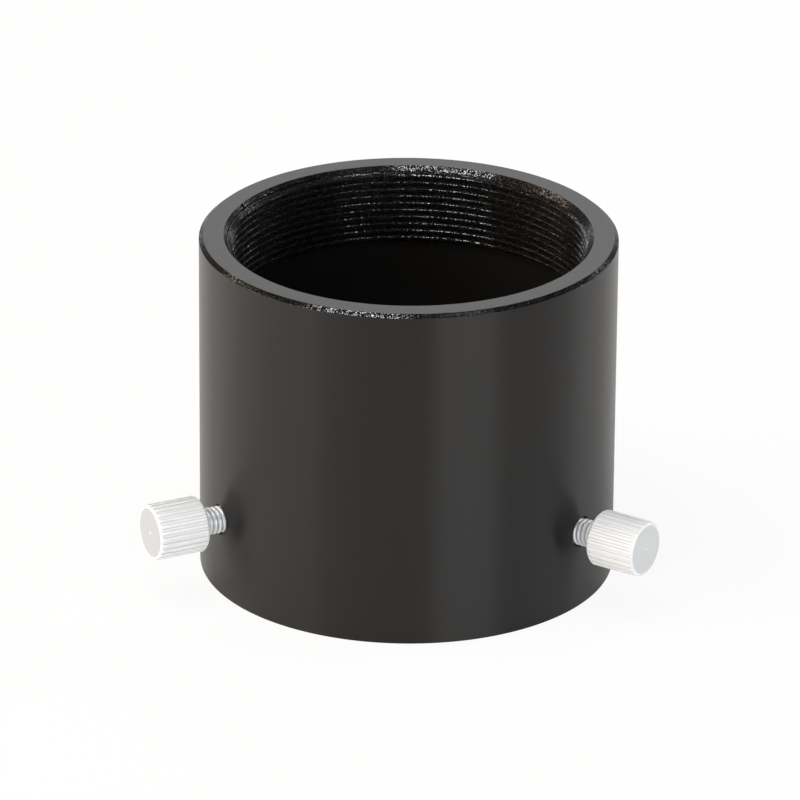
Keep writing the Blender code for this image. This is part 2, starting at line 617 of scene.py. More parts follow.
def rounded_path(corners, radii):
    """A path of straight runs whose inner corners are arcs.

    An arc of radius r at a turn of t starts r * tan(t / 2) before the corner. One more point lies
    just beyond each end of an arc, so the straight runs keep their own shade."""
    corners = np.array(corners, float)
    path = [corners[0]]
    for before, corner, after, radius in zip(corners, corners[1:], corners[2:], radii):
        towards = (corner - before) / np.linalg.norm(corner - before)
        away = (after - corner) / np.linalg.norm(after - corner)
        cross = towards[0] * away[1] - towards[1] * away[0]
        turn = math.atan2(cross, float(towards @ away))
        setback = radius * math.tan(abs(turn) / 2)
        left = np.array((-towards[1], towards[0])) * math.copysign(1.0, turn)
        angles = np.linspace(0.0, abs(turn), ARC_STEPS + 1)[:, None]
        start = corner - towards * setback
        arc = start + radius * (np.sin(angles) * towards + (1.0 - np.cos(angles)) * left)
        support = min(radius, setback) / 2
        path.append(start - towards * support)
        path.extend(arc)
        path.append(corner + away * (setback + support))
    path.append(corners[-1])
    return np.array(path)


def weld(name, blocks, smooth_below=SHARP_ANGLE):
    """Join blocks whose borders share points into one closed mesh.

    All the faces of one block have the same number of corners."""
    offset = 0
    faces = []
    finishes = []
    for part in blocks:
        faces.extend((part.faces + offset).tolist())
        finishes.extend([part.finish] * len(part.faces))
        offset += len(part.points)
    mesh = bpy.data.meshes.new(name)
    mesh.from_pydata(np.concatenate([part.points for part in blocks]).tolist(), [], faces)
    mesh.polygons.foreach_set("material_index", finishes)
    bm = bmesh.new()
    bm.from_mesh(mesh)
    bmesh.ops.remove_doubles(bm, verts=bm.verts, dist=WELD_DISTANCE)
    bmesh.ops.recalc_face_normals(bm, faces=bm.faces)
    if any(not edge.is_manifold for edge in bm.edges):
        raise RuntimeError(name + " isn't closed")
    bm.to_mesh(mesh)
    bm.free()
    mesh.shade_smooth()
    mesh.set_sharp_from_angle(angle=smooth_below)
    return mesh


def add_piece(name, mesh, materials, body, slot, *nodes):
    """Put a finished mesh into the scene in place of CAD nodes, riding on a body."""
    piece = bpy.data.objects.new(name, mesh)
    bpy.context.scene.collection.objects.link(piece)
    for material in materials:
        mesh.materials.append(material)
    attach(piece, body)
    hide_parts(*nodes)
    return piece


def thread_section(crest, root, pitch, edge, flank_slope=math.tan(math.radians(30.0))):
    """One turn of a 60 degree thread, as turns in 0 to 1 and the radius at each.

    The crest is a quarter of the pitch wide and centred on 0. Each flank takes the thread's depth
    times tan(30 degrees) of height, and the root is what is left. The corners between them are
    small flats, edge wide to each side."""
    flank = abs(root - crest) * flank_slope / pitch
    crest_end = 0.25 / 2
    root_start = crest_end + flank
    lean = (root - crest) * edge / flank
    turns = [0.0, crest_end - edge, crest_end + edge, crest_end + flank / 2]
    radii = [crest, crest, crest + lean, (crest + root) / 2]
    turns += [root_start - edge, root_start + edge, 0.5]
    radii += [root - lean, root, root]
    turns = np.array(turns + [1.0 - turn for turn in reversed(turns[:-1])])
    radii = np.array(radii + list(reversed(radii[:-1])))
    return turns, radii


def rounded_section(crest, root):
    """One turn of a thread with broad rounded ridges and narrow valleys.

    A turn t away from a ridge's middle has the share (0.5 + 0.5 cos t) to the power 0.4 of the
    ridge's height."""
    turns = np.linspace(0.0, 1.0, ROUNDED_POINTS)
    share = (0.5 + 0.5 * np.cos(turns * math.tau)) ** 0.4
    return turns, root + (crest - root) * share


class Helix:
    """A thread's radius at any azimuth and height: its section, which climbs one pitch a turn."""

    def __init__(self, section, pitch, start, height):
        self.turns, self.radii = section
        self.pitch = pitch
        self.start = start
        self.height = height

    def radius(self, azimuth, height):
        """The section's radius at the share of a turn by which a point lies above a crest."""
        climbed = (height - self.height) / self.pitch - (azimuth - self.start) / math.tau
        return np.interp(climbed % 1.0, self.turns, self.radii)

    def rows(self, azimuths, low, high):
        """Heights of lines along the thread, one row for each corner of its section.

        A row climbs with the azimuth, and stops at the low and the high end of the thread."""
        lead = (azimuths - self.start) / math.tau
        first = math.floor((low - self.height) / self.pitch - lead.max()) - 1
        last = math.ceil((high - self.height) / self.pitch - lead.min()) + 1
        turns = (np.arange(first, last)[:, None] + self.turns[None, :-1]).ravel()
        heights = self.height + (turns[:, None] + lead[None, :]) * self.pitch
        used = (heights.max(axis=1) > low) & (heights.min(axis=1) < high)
        used |= np.roll(used, 1) | np.roll(used, -1)
        return np.clip(heights[used], low, high)


def tube_azimuths(nick_azimuth, nick_width):
    """Azimuths of the tube's columns: even ones, and three at the nick's sides and middle.

    An even one is left out where it lies within a fifth of a step of those three."""
    even = np.arange(TUBE_COLUMNS) * math.tau / TUBE_COLUMNS
    beside = nick_azimuth + np.array((-0.5, 0.0, 0.5)) * nick_width / TUBE.mouth
    far = np.abs(even[:, None] - beside[None, :]).min(axis=1) > 0.2 * math.tau / TUBE_COLUMNS
    return np.sort(np.concatenate((even[far], beside)))


def window_columns(azimuths, centre):
    """The numbers of the columns that border a screw hole's window, from one side to the other."""
    middle = int(np.argmin(np.abs((azimuths - centre + math.pi) % math.tau - math.pi)))
    half = WINDOW_CELLS // 2
    return (np.arange(middle - half, middle + half + 1)) % len(azimuths)


def wall_heights(low, high, hole_height):
    """Heights of the rows of a plain wall with a fine stretch where its holes are."""
    window = np.linspace(hole_height - WINDOW_HALF, hole_height + WINDOW_HALF, WINDOW_CELLS + 1)
    below = np.linspace(low, window[0], max(2, round((window[0] - low) / WALL_STEP)))
    above = np.linspace(window[-1], high, max(2, round((high - window[-1]) / WALL_STEP)))
    return np.concatenate((below[:-1], window, above[1:]))


def window_border(across, up):
    """The points round a square window, from its lower left corner, as offsets from its middle."""
    bottom = np.stack((across[:-1], np.full(WINDOW_CELLS, up[0])), axis=-1)
    right = np.stack((np.full(WINDOW_CELLS, across[-1]), up[:-1]), axis=-1)
    top = np.stack((across[:0:-1], np.full(WINDOW_CELLS, up[-1])), axis=-1)
    left = np.stack((np.full(WINDOW_CELLS, across[0]), up[:0:-1]), axis=-1)
    return np.concatenate((bottom, right, top, left))


def hole_blocks(axis, hole_height, radius, countersink):
    """The skin round one screw hole and the hole itself.

    Rings blend from the square window's border to the circle, on the wall's own curve: a point
    that lies x to the side of the screw's axis is sqrt(wall radius squared - x squared) out. Both
    the border and the circle start at the lower left corner."""
    side = np.array((-axis.y, axis.x, 0.0))
    outward = np.array(axis)
    up = np.array((0.0, 0.0, 1.0))
    count = 4 * WINDOW_CELLS
    turns = math.radians(-135.0) + np.arange(count) * math.tau / count
    circle = np.stack((np.cos(turns), np.sin(turns)), axis=-1)
    steps = np.linspace(-1.0, 1.0, WINDOW_CELLS + 1)
    half_angle = WINDOW_CELLS / 2 * math.tau / TUBE_COLUMNS
    blends = np.array((0.0, 0.3, 0.55, 0.75, 0.9, 1.0))[:, None, None]

    def placed(flat, wall, inset):
        out = np.sqrt(wall**2 - flat[..., 0] ** 2) + inset
        level = hole_height + flat[..., 1]
        return out[..., None] * outward + flat[..., :1] * side + level[..., None] * up

    blocks = []
    for wall, finish in ((TUBE.outer, WALL_FINISH), (TUBE.socket, BORE_FINISH)):
        border = window_border(wall * np.sin(steps * half_angle), steps * WINDOW_HALF)
        rings = border * (1.0 - blends) + circle * (radius + countersink) * blends
        blocks.append(block(placed(rings, wall, 0.0), True, finish))
    bore = [
        placed(circle * (radius + countersink), TUBE.outer, 0.0),
        placed(circle * radius, TUBE.outer, -countersink),
        placed(circle * radius, TUBE.socket, countersink),
        placed(circle * (radius + countersink), TUBE.socket, 0.0),
    ]
    blocks.append(block(np.array(bore), True, CUT_FINISH))
    return blocks


def nick_shape(azimuth, height, thread):
    """How far a point of the mouth chamfer moves out at the nick and the fine groove it meets.

    Both are V shaped. The nick runs from the top down to the groove. The groove runs out to each
    side of the nick, and fades over the last quarter of its reach."""
    offset = np.abs(azimuth - thread.nick_azimuth)
    across = np.clip(1.0 - offset * TUBE.mouth * 2 / thread.nick_width, 0.0, 1.0)
    above = height - (TUBE.top - thread.scratch_drop)
    nick = across * (above > 0.0) * thread.nick_depth
    along = np.clip((thread.scratch_reach - offset) * 4 / thread.scratch_reach, 0.0, 1.0)
    groove = np.clip(1.0 - np.abs(above) * 2 / thread.scratch_width, 0.0, 1.0)
    return np.maximum(nick, groove * along * thread.scratch_width)


def in_nick(azimuths, heights, thread):
    """Which cells between the columns and the rows lie in the nick or the fine groove.

    They are those whose middle moves out by over a quarter of the groove's width."""
    after = np.append(azimuths[1:], azimuths[0] + math.tau)
    azimuth = ((azimuths + after) / 2)[None, :]
    height = ((heights[1:] + heights[:-1]) / 2)[:, None]
    return nick_shape(azimuth, height, thread) > thread.scratch_width / 4


def build_tube_mesh(thread, tube):
    """The tube's skin: its section turned about Z, with the thread's helix in the mouth.

    From the mouth's edge the section runs over the rim, down the outside, under the foot and up
    the socket to the step. The thread's rows follow its helix, and the chamfered mouth above it
    has level rows whose radius is the larger of the chamfer's cone and the thread."""
    azimuths = tube_azimuths(thread.nick_azimuth, thread.nick_width)
    hole_height = SCREWS[0].height
    hole_radius = SCREWS[0].shank + tube.hole_clearance
    section = thread_section(TUBE.core, thread.major_radius, thread.pitch, thread.edge)
    helix = Helix(section, thread.pitch, thread.start, TUBE.top)

    chamfer_foot = TUBE.top - (TUBE.mouth - TUBE.core)
    edge = tube.edge_radius
    over_rim = rounded_path(
        [
            (TUBE.mouth - MOUTH_END, TUBE.top - MOUTH_END),
            (TUBE.mouth, TUBE.top),
            (TUBE.rim, TUBE.top),
            (TUBE.outer, TUBE.rim_foot),
            (TUBE.outer, TUBE.rim_foot - PLAIN_END),
        ],
        (edge, edge, edge),
    )
    under_foot = rounded_path(
        [
            (TUBE.outer, TUBE.foot + PLAIN_END),
            (TUBE.outer, TUBE.foot),
            (TUBE.foot_edge, TUBE.foot),
            (TUBE.socket, TUBE.socket_start),
            (TUBE.socket, TUBE.socket_start + PLAIN_END),
        ],
        (tube.foot_radius, edge, edge),
    )
    outside = wall_heights(under_foot[0][1], over_rim[-1][1], hole_height)[::-1]
    inside = wall_heights(under_foot[-1][1], TUBE.thread_end, hole_height)

    def ring_rows(path, finish):
        return block(turned(path[:, :1], azimuths[None, :], path[:, 1:]), True, finish)

    def nicked_rows(points, heights):
        # Cells in the nick and the fine groove take the nick finish, which is painted shade
        dark = in_nick(azimuths, heights, thread)
        return [block(points, True, CUT_FINISH, ~dark), block(points, True, NICK_SHADE_FINISH, dark)]

    def rim_rows(path):
        flat = np.nonzero(path[:, 1] > TUBE.top - NEAR)[0]
        inner, outer = flat[0], flat[-1]
        wall = np.nonzero(path[:, 0] > TUBE.outer - NEAR)[0][0]
        edge_path = path[: inner + 1]
        moved = nick_shape(azimuths[None, :], edge_path[:, 1:], thread)
        moved[-1] = 0.0
        edge_points = turned(edge_path[:, :1] + moved, azimuths[None, :], edge_path[:, 1:])
        return [
            *nicked_rows(edge_points, edge_path[:, 1]),
            ring_rows(path[inner : outer + 1], RIM_FINISH),
            ring_rows(path[outer : wall + 1], CUT_FINISH),
            ring_rows(path[wall:], WALL_FINISH),
        ]

    def wall_rows(heights, wall, finish):
        keep = np.ones((len(heights) - 1, len(azimuths)), bool)
        rows = np.abs((heights[1:] + heights[:-1]) / 2 - hole_height) < WINDOW_HALF
        for screw in SCREWS:
            azimuth = math.atan2(screw.axis.x, -screw.axis.y)
            columns = window_columns(azimuths, azimuth)[:-1]
            keep[np.ix_(rows, columns)] = False
        return block(turned(wall, azimuths[None, :], heights[:, None]), True, finish, keep)

    mouth_low = chamfer_foot - MOUTH_OVERLAP
    mouth_heights = np.arange(mouth_low, over_rim[0][1], MOUTH_STEP)
    mouth_heights = np.append(mouth_heights, over_rim[0][1])[:, None]
    cone = TUBE.mouth - (TUBE.top - mouth_heights)
    mouth = np.maximum(cone, helix.radius(azimuths[None, :], mouth_heights))
    mouth = mouth + nick_shape(azimuths[None, :], mouth_heights, thread)
    mouth_points = turned(mouth, azimuths[None, :], mouth_heights)

    around = np.append(azimuths, azimuths[0] + math.tau)
    rows = helix.rows(around, TUBE.thread_end, mouth_low)
    step = np.linspace(0.0, 1.0, 3)[:, None]
    step_inner = helix.radius(azimuths, TUBE.thread_end)[None, :]
    step_radius = TUBE.socket * (1.0 - step) + step_inner * step

    blocks = [
        *rim_rows(over_rim),
        wall_rows(outside, TUBE.outer, WALL_FINISH),
        ring_rows(under_foot, WALL_FINISH),
        wall_rows(inside, TUBE.socket, BORE_FINISH),
        block(turned(step_radius, azimuths[None, :], TUBE.thread_end), True, BORE_FINISH),
        block(turned(helix.radius(around[None, :], rows), around[None, :], rows), False, CUT_FINISH),
        *nicked_rows(mouth_points, mouth_heights[:, 0]),
    ]
    for screw in SCREWS:
        blocks += hole_blocks(screw.axis, hole_height, hole_radius, tube.countersink)
    return weld("adapter_tube", blocks)


def head_section(sizes, screw):
    """The head's outline, from its inner face near the shank to its end face near the pip."""
    corners = [
        (sizes.shank + NECK_GAP, sizes.standoff),
        (sizes.head - sizes.chamfer, sizes.standoff),
        (sizes.head, sizes.standoff + sizes.chamfer),
        (sizes.head, sizes.outer),
        (screw.nib_radius * 3, sizes.outer),
    ]
    return rounded_path(corners, (HEAD_EDGE, HEAD_EDGE * 2, screw.fillet))


def ring_join(many, few):
    """Faces between a ring of many points and a ring of few, whose points follow them.

    Each face takes one step of the few, and all the steps of the many that lie beside it."""
    share = many // few
    step = np.arange(few)[:, None]
    outer = (step * share + np.arange(share + 1)) % many
    inner = many + (step + np.array((1, 0))) % few
    return np.concatenate((outer, inner), axis=1)


def knurl_section(head, screw):
    """The knurl's azimuths and the radius at each, the same for every rib.

    A groove is a flat floor with a straight wall on each side, and the corners between them are
    small flats. The columns lie on those corners, and the rest are spread over floor and rib."""
    pitch = math.tau / screw.ribs
    edge = screw.groove_edge / head
    floor = screw.groove_floor / 2 / head
    shoulder = screw.groove_width / 2 / head
    corners = np.array((floor - edge, floor + edge, shoulder - edge, shoulder + edge))
    lean = edge / (shoulder - floor)
    land = np.linspace(corners[-1], pitch / 2, 4)
    half = np.concatenate((corners[:1] / 2, corners, land[1:-1]))
    rib = np.concatenate((-half[::-1], (0.0,), half, (pitch / 2,)))
    depth = np.interp(np.abs(rib), corners, (1.0, 1.0 - lean, lean, 0.0))
    azimuths = (np.arange(screw.ribs)[:, None] * pitch + rib[None, :]).ravel()
    return azimuths, np.tile(head - screw.groove_depth * depth, screw.ribs)


def painted_groove_shade(place, sizes, screw):
    """Painted shade: 1 along the foot of each wall of the knurl's grooves and in the screw thread's valleys.

    It falls off in a straight line over a little of the floor and to the top of the wall, and a
    point must lie as deep as the groove's floor or wall does there. In the screw thread it falls
    off over the lower half of the ridge."""
    head = sizes.head
    pitch = math.tau / screw.ribs
    azimuth = np.arctan2(place[:, 0], -place[:, 1])
    offset = np.abs((azimuth + pitch / 2) % pitch - pitch / 2) * head
    floor = screw.groove_floor / 2
    shoulder = screw.groove_width / 2
    share = np.interp(offset, (floor - SHADE_SPREAD, floor, shoulder), (0.0, 1.0, 0.0))
    depth = np.interp(offset, (floor, shoulder), (screw.groove_depth, 0.0))
    radius = np.hypot(place[:, 0], place[:, 1])
    share = np.where(radius > head - depth - SHADE_SLACK, share, 0.0)
    half = (sizes.shank - screw.root_radius) / 2
    valley = np.clip((screw.root_radius + half - radius) / half, 0.0, 1.0)
    in_thread = place[:, 2] < sizes.standoff - screw.relief
    return np.where(in_thread, valley, share)


def build_screw_mesh(sizes, screw, turn):
    """One thumbscrew: a knurled head turned about its axis, and a shank with a helical thread.

    The head's radius is the smaller of its outline and the knurl, so the grooves run out where
    the outline rounds in. The shank's radius is the smallest of the thread, the tip's cone and
    the neck under the head."""
    azimuths, knurl = knurl_section(sizes.head, screw)
    outline = head_section(sizes, screw)
    radius = np.minimum(outline[:, :1], knurl[None, :])
    head = turned(radius, azimuths[None, :], outline[:, 1:])

    columns = screw.ribs * SHANK_COLUMNS_PER_RIB
    around = np.linspace(0.0, math.tau, columns + 1)
    section = rounded_section(sizes.shank, screw.root_radius)
    helix = Helix(section, screw.pitch, screw.start, 0.0)
    heights = helix.rows(around, sizes.tip, sizes.standoff)
    thread = helix.radius(around[None, :], heights)
    tip_cone = screw.root_radius + (heights - sizes.tip)
    relief_start = sizes.standoff - screw.relief
    neck = sizes.shank - (heights - relief_start + NECK_RUN) * NECK_SLOPE
    neck = np.maximum(neck, screw.root_radius)
    thread = np.minimum(thread, np.minimum(tip_cone, neck))
    shank = turned(thread, around[None, :], heights)

    ring = around[:-1]
    inner_ring = turned(screw.root_radius, ring, sizes.standoff)
    join_points = np.concatenate((head[0], inner_ring))
    join_faces = ring_join(len(azimuths), columns)

    nib = screw.nib_radius
    nib_path = np.array(
        [
            (nib * 2, sizes.outer),
            (nib * 1.1, sizes.outer),
            (nib * 0.9, sizes.outer + nib * 0.25),
            (nib * 0.5, sizes.outer + nib * 0.4),
        ]
    )
    nib_rings = turned(nib_path[:, :1], ring[None, :], nib_path[:, 1:])
    face_points = np.concatenate((head[-1], nib_rings[0]))
    pole = np.arange(columns)[None, :]
    tip_ring = turned(screw.root_radius, ring, sizes.tip)
    blocks = [
        block(head[:-2], True, KNURL_FINISH),
        block(head[-3:], True, FACE_FINISH),
        block(shank, False, SHANK_FINISH),
        Block(join_points, join_faces, KNURL_FINISH),
        Block(face_points, join_faces, FACE_FINISH),
        block(nib_rings, True, KNURL_FINISH),
        Block(nib_rings[-1], pole, KNURL_FINISH),
        Block(tip_ring, pole, SHANK_FINISH),
    ]
    mesh = weld(sizes.node + "_knurled", blocks)
    place = np.empty(len(mesh.vertices) * 3, np.float32)
    mesh.vertices.foreach_get("co", place)
    mesh.attributes.new("screw_place", "FLOAT_VECTOR", "POINT").data.foreach_set("vector", place)
    # The groove attribute is painted shade: 1 at the foot of the groove walls and in the thread's valleys
    grooves = painted_groove_shade(place.reshape(-1, 3), sizes, screw)
    mesh.attributes.new("groove", "FLOAT", "POINT").data.foreach_set("value", grooves)
    side = Vector((-sizes.axis.y, sizes.axis.x, 0.0))
    up = Vector((0.0, 0.0, 1.0))
    centre = sizes.axis * TUBE.outer + up * sizes.height
    upright = Matrix((side, up, sizes.axis)).transposed().to_4x4()
    mesh.transform(Matrix.Translation(centre) @ upright @ Matrix.Rotation(turn, 4, "Z"))
    return mesh


def new_material(name):
    """A new node material, its tree and its shader."""
    material = bpy.data.materials.new(name)
    material.use_nodes = True
    tree = material.node_tree
    return material, tree, tree.nodes["Principled BSDF"]


def add_node(tree, kind, links=(), **settings):
    """A node with its settings, and with links that give each input a value or another socket."""
    node = tree.nodes.new(kind)
    for name, value in settings.items():
        setattr(node, name, value)
    for socket, value in links:
        if isinstance(value, bpy.types.NodeSocket):
            tree.links.new(value, node.inputs[socket])
        else:
            node.inputs[socket].default_value = value
    return node


def noise(tree, place, scale, detail=2.0, roughness=0.5):
    """Plain noise on a place, as a factor in 0 to 1."""
    links = (("Vector", place), ("Scale", scale), ("Detail", detail), ("Roughness", roughness))
    return add_node(tree, "ShaderNodeTexNoise", links).outputs["Fac"]


def spread(tree, factor, low, high):
    """Noise, most of which lies from 0.3 to 0.7, stretched over the range from low to high."""
    links = (("Value", factor), ("From Min", 0.3), ("From Max", 0.7), ("To Min", low), ("To Max", high))
    return add_node(tree, "ShaderNodeMapRange", links).outputs["Result"]


def mix_colours(tree, factor, first, second, blend="MIX"):
    """A colour that goes from the first to the second, or to their blend, with a factor."""
    colours = [
        colour if isinstance(colour, bpy.types.NodeSocket) else (*colour, 1.0)
        for colour in (first, second)
    ]
    links = (("Factor", factor), (MIX_FIRST, colours[0]), (MIX_SECOND, colours[1]))
    mix = add_node(tree, "ShaderNodeMix", links, data_type="RGBA", blend_type=blend)
    return mix.outputs[MIX_RESULT]


def ring_place(tree, vector):
    """A place that changes across a turned surface and only slowly round it."""
    split = add_node(tree, "ShaderNodeSeparateXYZ", (("Vector", vector),))
    links = (("X", split.outputs["X"]), ("Y", split.outputs["Y"]))
    flat = add_node(tree, "ShaderNodeCombineXYZ", links).outputs["Vector"]
    radius = add_node(tree, "ShaderNodeVectorMath", (("Vector", flat),), operation="LENGTH")
    links = (("X", radius.outputs["Value"]), ("Y", split.outputs["Z"]))
    return add_node(tree, "ShaderNodeCombineXYZ", links).outputs["Vector"]


def bump(tree, shader, height, strength, distance):
    """Raise a shader's surface by a height."""
    links = (("Height", height), ("Strength", strength), ("Distance", distance))
    node = add_node(tree, "ShaderNodeBump", links)
    tree.links.new(node.outputs["Normal"], shader.inputs["Normal"])


def turned_gloss(tree, shader, stretch):
    """Stretch the gloss across the marks that turning about Z leaves, so it forms upright bands."""
    around = add_node(tree, "ShaderNodeTangent", direction_type="RADIAL", axis="Z")
    tree.links.new(around.outputs["Tangent"], shader.inputs["Tangent"])
    shader.inputs["Anisotropic"].default_value = stretch
    shader.inputs["Anisotropic Rotation"].default_value = 0.25


def drifting_black(tree, place, colour):
    """A black that drifts slowly to one with more red and less blue."""
    drift = spread(tree, noise(tree, place, BLACK_DRIFT), 0.0, 1.0)
    warm = (colour[0] * (1.0 + WARM_SHARE), colour[1], colour[2] * (1.0 - WARM_SHARE))
    return mix_colours(tree, drift, colour, warm)


def anodised_wall(finish):
    """Satin black anodising: a fine even grain and a faint drift between neutral and warm black."""
    material, tree, shader = new_material("black_anodised_satin")
    place = add_node(tree, "ShaderNodeTexCoord").outputs["Object"]
    colour = drifting_black(tree, place, tuple(finish.black))
    tree.links.new(colour, shader.inputs["Base Color"])
    grain = noise(tree, place, SATIN_GRAIN, 3.0)
    rough = finish.black_roughness
    tree.links.new(spread(tree, grain, rough - 0.03, rough + 0.03), shader.inputs["Roughness"])
    shader.inputs["Specular IOR Level"].default_value = WALL_GLOSS
    turned_gloss(tree, shader, finish.black_stretch)
    return material


def anodised_cut(finish):
    """Black anodising over a coarse cut: dull between small glints that mirror the lamps.

    Every small cell gets a random share of glint. A glint acts as dark bare metal, while the rest
    keeps the wide stretched gloss of a turned face."""
    material, tree, shader = new_material("black_anodised_cut")
    place = add_node(tree, "ShaderNodeTexCoord").outputs["Object"]
    scale = 1.0 / finish.glint_size
    cells = add_node(tree, "ShaderNodeTexVoronoi", (("Vector", place), ("Scale", scale)))
    chance = add_node(tree, "ShaderNodeSeparateXYZ", (("Vector", cells.outputs["Color"]),))
    links = (("Value", chance.outputs["X"]), ("From Min", GLINT_START), ("From Max", GLINT_FULL))
    glint = add_node(tree, "ShaderNodeMapRange", links).outputs["Result"]
    dull = tuple(channel * CUT_SHARE for channel in finish.black)
    tree.links.new(mix_colours(tree, glint, dull, finish.glint), shader.inputs["Base Color"])
    tree.links.new(glint, shader.inputs["Metallic"])
    links = (("Value", glint), ("To Min", finish.cut_roughness), ("To Max", finish.glint_roughness))
    rough = add_node(tree, "ShaderNodeMapRange", links).outputs["Result"]
    tree.links.new(rough, shader.inputs["Roughness"])
    shader.inputs["Specular IOR Level"].default_value = CUT_GLOSS
    turned_gloss(tree, shader, finish.cut_stretch)
    bump(tree, shader, noise(tree, place, scale), 1.0, finish.cut_relief)
    return material


def anodised_rim(finish):
    """Black anodising over an even matte face: a fine grain and the same gloss all round."""
    material, tree, shader = new_material("black_anodised_rim")
    place = add_node(tree, "ShaderNodeTexCoord").outputs["Object"]
    shader.inputs["Base Color"].default_value = (*finish.black, 1.0)
    grain = noise(tree, place, MATTE_GRAIN, 2.0, 0.6)
    rough = finish.rim_roughness
    tree.links.new(spread(tree, grain, rough - 0.05, rough + 0.05), shader.inputs["Roughness"])
    shader.inputs["Specular IOR Level"].default_value = RIM_GLOSS
    bump(tree, shader, grain, 0.3, FINE_RELIEF)
    return material


def anodised_dull(finish, name, share, gloss):
    """Dull anodising, a share of the black's brightness, where hardly any gloss is left. At the nick, its small
    share and lack of gloss are painted shade.
    """
    material, tree, shader = new_material("black_anodised_" + name)
    place = add_node(tree, "ShaderNodeTexCoord").outputs["Object"]
    colour = drifting_black(tree, place, tuple(channel * share for channel in finish.black))
    tree.links.new(colour, shader.inputs["Base Color"])
    grain = noise(tree, place, MATTE_GRAIN, 2.0, 0.6)
    tree.links.new(spread(tree, grain, 0.5, 0.6), shader.inputs["Roughness"])
    shader.inputs["Specular IOR Level"].default_value = gloss
    return material


def satin_steel(name, steel, roughness, metallic, groove_shade_tone):
    """Bright satin steel with faint turning marks about the screw's own axis.

    It is painted darker, down to the groove shade tone, where the mesh's groove attribute rises to 1: painted
    shade at the foot of the knurl's groove walls and in the thread's valleys."""
    material, tree, shader = new_material("satin_steel_" + name)
    place = add_node(tree, "ShaderNodeAttribute", attribute_name="screw_place").outputs["Vector"]
    drift = spread(tree, noise(tree, place, STEEL_DRIFT), 0.0, 1.0)
    groove = add_node(tree, "ShaderNodeAttribute", attribute_name="groove").outputs["Fac"]
    clean = mix_colours(tree, drift, steel, tuple(channel * 0.97 for channel in steel))
    # Painted shade: the colour is multiplied down to the groove shade tone in the grooves and valleys
    colour = mix_colours(tree, groove, clean, (groove_shade_tone,) * 3, "MULTIPLY")
    tree.links.new(colour, shader.inputs["Base Color"])
    shader.inputs["Metallic"].default_value = metallic
    marks = noise(tree, ring_place(tree, place), TURNING_MARKS, 2.0)
    rough = spread(tree, marks, roughness - 0.04, roughness + 0.04)
    tree.links.new(rough, shader.inputs["Roughness"])
    bump(tree, shader, marks, 0.1, FINE_RELIEF)
    return material


def add_lamp(spot):
    """A soft rectangular lamp that faces the middle of the tube."""
    data = bpy.data.lights.new(spot.name, "AREA")
    data.shape = "RECTANGLE"
    data.size = 2 * LAMP_DISTANCE * math.tan(math.radians(spot.wide) / 2)
    data.size_y = 2 * LAMP_DISTANCE * math.tan(math.radians(spot.tall) / 2)
    data.energy = spot.brightness * math.pi * data.size * data.size_y
    data.color = spot.colour
    item = bpy.data.objects.new(spot.name, data)
    bpy.context.scene.collection.objects.link(item)
    azimuth, elevation = math.radians(spot.azimuth), math.radians(spot.elevation)
    item.matrix_world = facing_middle(azimuth, elevation, LAMP_DISTANCE)


def facing_middle(azimuth, elevation, distance, roll=0.0):
    """The placement of a camera or lamp that looks at the origin from an azimuth and elevation."""
    back = Vector(
        (
            math.sin(azimuth) * math.cos(elevation),
            -math.cos(azimuth) * math.cos(elevation),
            math.sin(elevation),
        )
    )
    turn = (-back).to_track_quat("-Z", "Y").to_matrix().to_4x4()
    return Matrix.Translation(back * distance) @ turn @ Matrix.Rotation(roll, 4, "Z")


def seen_white(tree, plain, glow, mirrored_glow):
    """Mix plain white into a surface for the camera, and a share of it for gloss and for glass."""
    path = add_node(tree, "ShaderNodeLightPath")
    shares = []
    for name, amount in (
        ("Is Camera Ray", glow),
        ("Is Glossy Ray", mirrored_glow),
        ("Is Transmission Ray", mirrored_glow),
    ):
        links = ((0, path.outputs[name]), (1, amount))
        shares.append(add_node(tree, "ShaderNodeMath", links, operation="MULTIPLY").outputs["Value"])
    seen = shares[0]
    for share in shares[1:]:
        seen = add_node(tree, "ShaderNodeMath", ((0, seen), (1, share)), operation="MAXIMUM")
        seen = seen.outputs["Value"]
    white = add_node(tree, "ShaderNodeEmission", (("Strength", 1.0),)).outputs["Emission"]
    mix = add_node(tree, "ShaderNodeMixShader", (("Fac", seen), (1, plain), (2, white)))
    return mix.outputs["Shader"]


def add_floor(stage):
    """A wide pale floor just under the tube's foot."""
    span = 20.0
    low = TUBE.foot - NEAR
    corners = [(-span, -span, low), (span, -span, low), (span, span, low), (-span, span, low)]
    mesh = bpy.data.meshes.new("floor")
    mesh.from_pydata(corners, [], [(0, 1, 2, 3)])
    floor = bpy.data.objects.new("floor", mesh)
    bpy.context.scene.collection.objects.link(floor)
    material = bpy.data.materials.new("floor")
    material.use_nodes = True
    tree = material.node_tree
    output = tree.nodes["Material Output"]
    tree.nodes.remove(tree.nodes["Principled BSDF"])
    plain = add_node(tree, "ShaderNodeBsdfDiffuse", (("Color", (*stage.floor_colour, 1.0)),))
    surface = seen_white(tree, plain.outputs["BSDF"], stage.floor_glow, stage.mirrored_glow)
    tree.links.new(surface, output.inputs["Surface"])
    mesh.materials.append(material)


def add_world():
    """A surround that is white up to a little above the horizon and dim further up."""
    world = bpy.data.worlds.new("studio")
    bpy.context.scene.world = world
    world.use_nodes = True
    tree = world.node_tree
    direction = add_node(tree, "ShaderNodeTexCoord").outputs["Generated"]
    rise = add_node(tree, "ShaderNodeSeparateXYZ", (("Vector", direction),)).outputs["Z"]
    links = (
        ("Value", rise),
        ("From Min", math.sin(SKY_WHITE)),
        ("From Max", math.sin(SKY_DIM)),
        ("To Min", 1.0),
        ("To Max", DIM_SKY),
    )
    strength = add_node(tree, "ShaderNodeMapRange", links).outputs["Result"]
    background = tree.nodes["Background"]
    background.inputs["Color"].default_value = (1.0, 1.0, 1.0, 1.0)
    tree.links.new(strength, background.inputs["Strength"])


